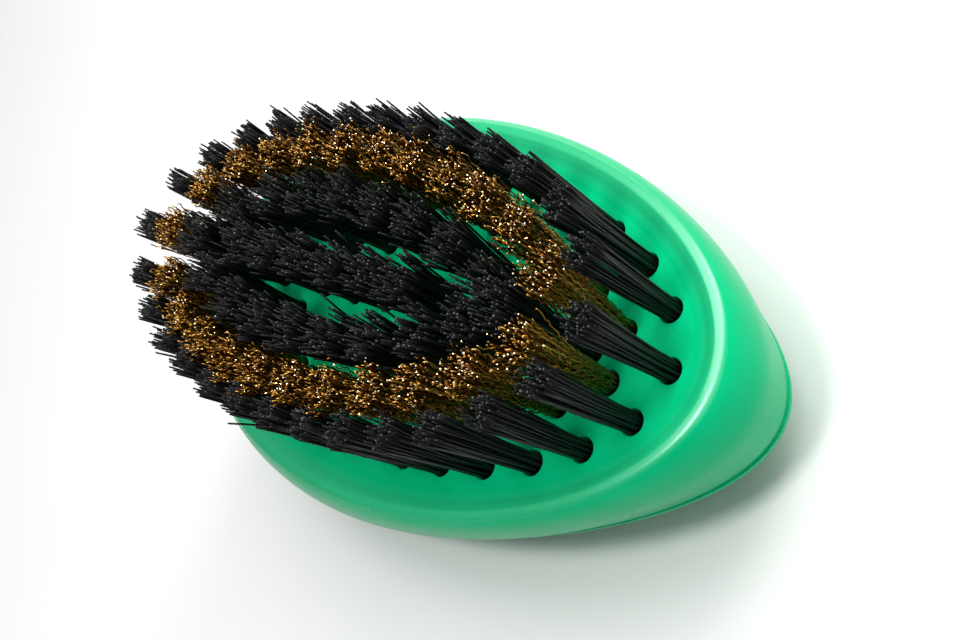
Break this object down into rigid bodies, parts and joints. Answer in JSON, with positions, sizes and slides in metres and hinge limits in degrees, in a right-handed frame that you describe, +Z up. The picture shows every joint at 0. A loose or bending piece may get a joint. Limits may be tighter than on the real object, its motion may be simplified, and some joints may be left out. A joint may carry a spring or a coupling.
{
  "type": "club groove brush",
  "caption": "Palm-held oval brush for cleaning club grooves: moulded body with nested rows of nylon and brass wire tufts.",
  "frame": {"origin": "middle of the flat land on the back, at the height of the surface the brush rests on (centre of the bounding box's bottom)", "axes": "+Z up along the bristles, +X towards the narrow end of the body, +Y across it"},
  "size_m": [0.0932, 0.0528, 0.036],
  "materials": {
    "green_plastic": "semi-gloss moulded plastic with a fine texture",
    "black_nylon": "satin drawn filament",
    "brass_wire": "bright crimped wire with bright cut ends"
  },
  "bodies": {
    "root": {"face_block": "green_plastic", "back_shell": "green_plastic", "outer_nylon_tuft_01": "black_nylon", "outer_nylon_tuft_02": "black_nylon", "outer_nylon_tuft_03": "black_nylon", "outer_nylon_tuft_04": "black_nylon", "outer_nylon_tuft_05": "black_nylon", "outer_nylon_tuft_06": "black_nylon", "outer_nylon_tuft_07": "black_nylon", "outer_nylon_tuft_08": "black_nylon", "outer_nylon_tuft_09": "black_nylon", "outer_nylon_tuft_10": "black_nylon", "outer_nylon_tuft_11": "black_nylon", "outer_nylon_tuft_12": "black_nylon", "outer_nylon_tuft_13": "black_nylon", "outer_nylon_tuft_14": "black_nylon", "outer_nylon_tuft_15": "black_nylon", "outer_nylon_tuft_16": "black_nylon", "outer_nylon_tuft_17": "black_nylon", "outer_nylon_tuft_18": "black_nylon", "outer_nylon_tuft_19": "black_nylon", "outer_nylon_tuft_20": "black_nylon", "outer_nylon_tuft_21": "black_nylon", "outer_nylon_tuft_22": "black_nylon", "outer_nylon_tuft_23": "black_nylon", "outer_nylon_tuft_24": "black_nylon", "outer_nylon_tuft_25": "black_nylon", "outer_nylon_tuft_26": "black_nylon", "outer_nylon_tuft_27": "black_nylon", "outer_nylon_tuft_28": "black_nylon", "brass_tuft_01": "brass_wire", "brass_tuft_02": "brass_wire", "brass_tuft_03": "brass_wire", "brass_tuft_04": "brass_wire", "brass_tuft_05": "brass_wire", "brass_tuft_06": "brass_wire", "brass_tuft_07": "brass_wire", "brass_tuft_08": "brass_wire", "brass_tuft_09": "brass_wire", "brass_tuft_10": "brass_wire", "brass_tuft_11": "brass_wire", "brass_tuft_12": "brass_wire", "brass_tuft_13": "brass_wire", "brass_tuft_14": "brass_wire", "brass_tuft_15": "brass_wire", "brass_tuft_16": "brass_wire", "brass_tuft_17": "brass_wire", "brass_tuft_18": "brass_wire", "brass_tuft_19": "brass_wire", "brass_tuft_20": "brass_wire", "brass_tuft_21": "brass_wire", "brass_tuft_22": "brass_wire", "brass_tuft_23": "brass_wire", "inner_nylon_clump_1": "black_nylon", "inner_nylon_clump_2": "black_nylon", "inner_nylon_clump_3": "black_nylon", "inner_nylon_clump_4": "black_nylon", "inner_nylon_clump_5": "black_nylon", "inner_nylon_clump_6": "black_nylon", "centre_nylon_row": "black_nylon"}
  },
  "joints": []
}
